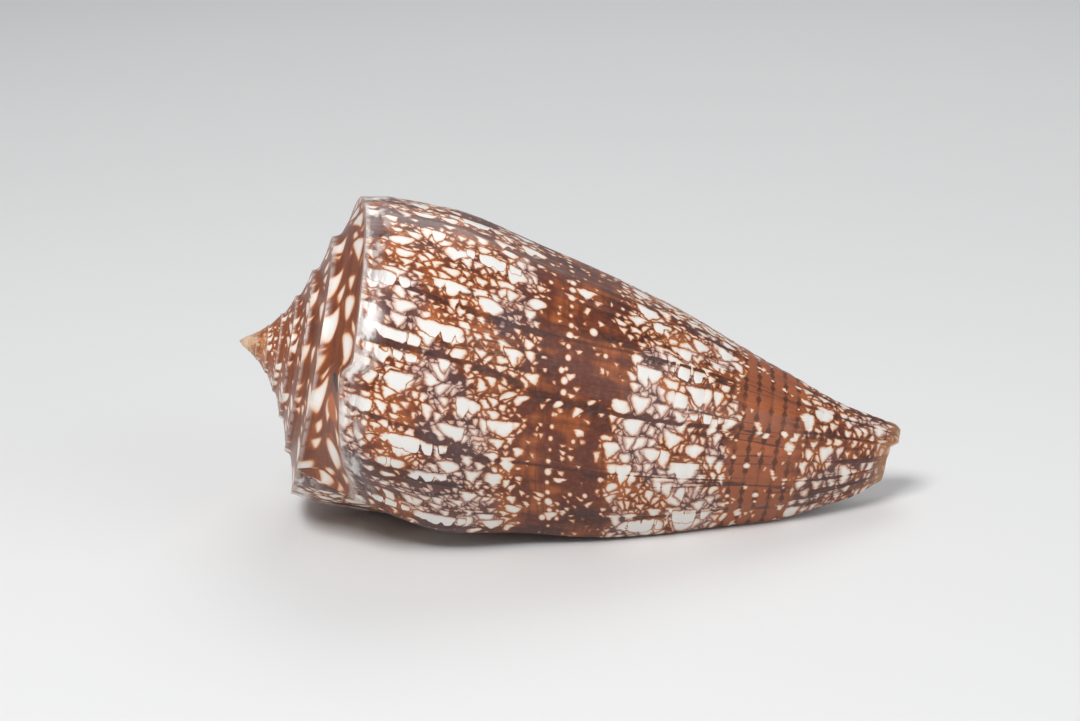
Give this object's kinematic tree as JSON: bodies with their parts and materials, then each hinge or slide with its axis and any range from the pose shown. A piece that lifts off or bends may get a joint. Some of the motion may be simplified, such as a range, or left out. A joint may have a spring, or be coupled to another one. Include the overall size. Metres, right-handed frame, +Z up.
{
  "type": "cone shell",
  "caption": "Cone-shaped sea snail shell with a low stepped spire, a sharp shoulder keel, a tapering body and a long narrow aperture, lying on its lip.",
  "frame": {"origin": "bottom centre of the bounding box, on the surface that the shell lies on", "axes": "+X along the shell from the apex to the front end, +Z up, and the outer lip on the -Y side"},
  "size_m": [0.078, 0.0394, 0.0374],
  "materials": {
    "shell": "glossy polished aragonite, white tent marks on a chestnut net, pale porcelain inside the aperture"
  },
  "bodies": {
    "root": {"shell": "shell"}
  },
  "joints": []
}
